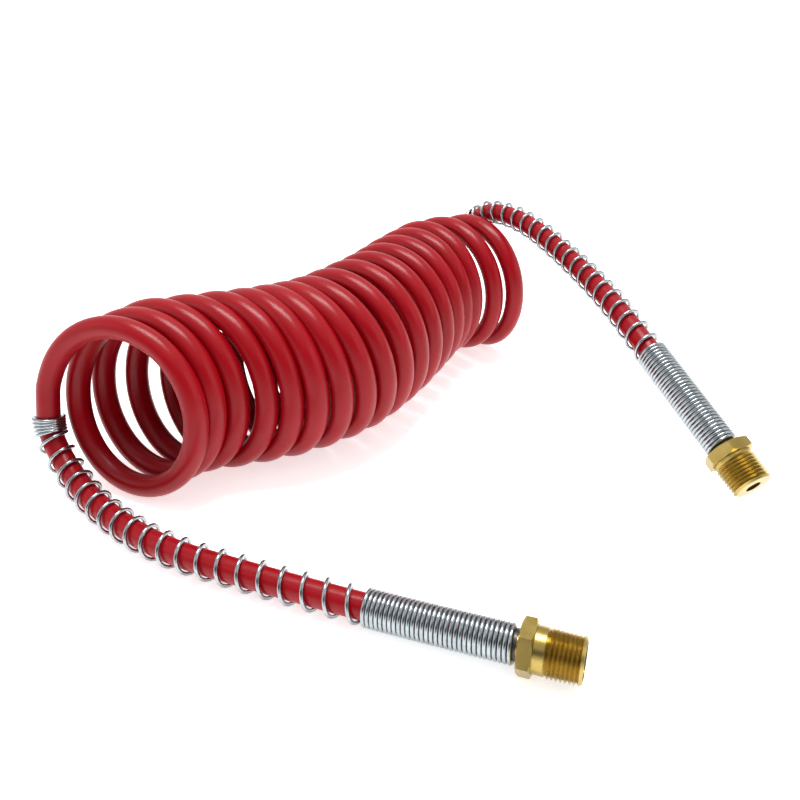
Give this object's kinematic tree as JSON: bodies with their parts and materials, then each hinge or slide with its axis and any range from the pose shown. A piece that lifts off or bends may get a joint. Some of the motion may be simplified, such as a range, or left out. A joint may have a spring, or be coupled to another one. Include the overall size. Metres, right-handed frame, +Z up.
{
  "type": "coiled_air_hose",
  "caption": "Self-coiling red nylon air-brake hose with steel spring guards on both leads, one swivelling and one rigid brass male pipe-thread fitting",
  "frame": {"origin": "middle of the object's bounding box, on the surface it lies on", "axes": "+Z up; +X from the coil's near end towards the side of the two fittings; +Y, the longest extent, from the near lead towards the far end of the coil"},
  "size_m": [0.3942, 0.4014, 0.1166],
  "materials": {
    "hose_nylon": "smooth, soft sheen",
    "plated_spring": "bright zinc plate",
    "fitting_brass": "machined",
    "seal_rubber": "matt",
    "ring_steel": "plain spring steel",
    "ferrule_steel": "dark plated"
  },
  "bodies": {
    "near_end": {"hose_near_lead": "hose_nylon", "hose_coil": "hose_nylon", "near_spring_guard": "plated_spring", "near_ferrule": "ferrule_steel", "near_swivel_stem": "fitting_brass", "near_seal_ring": "seal_rubber"},
    "near_swivel": {"near_swivel_body": "fitting_brass", "near_retaining_ring": "ring_steel"},
    "far_end": {"hose_far_lead": "hose_nylon", "far_spring_guard": "plated_spring", "far_ferrule": "ferrule_steel", "far_fitting_body": "fitting_brass"}
  },
  "joints": [
    {"name": "near_swivel_spin", "type": "hinge", "parent": "near_end", "child": "near_swivel", "pos_m": [0.06012, -0.18192, 0.01115], "axis": [0.9365, -0.3484, 0.0412], "continuous": true},
    {"name": "coil_stretch", "type": "slide", "parent": "near_end", "child": "far_end", "axis": [0.7215, 0.6924, 0], "range_m": [0, 2.7], "stiffness_N_per_m": 12, "deforming": ["hose_coil"]}
  ]
}
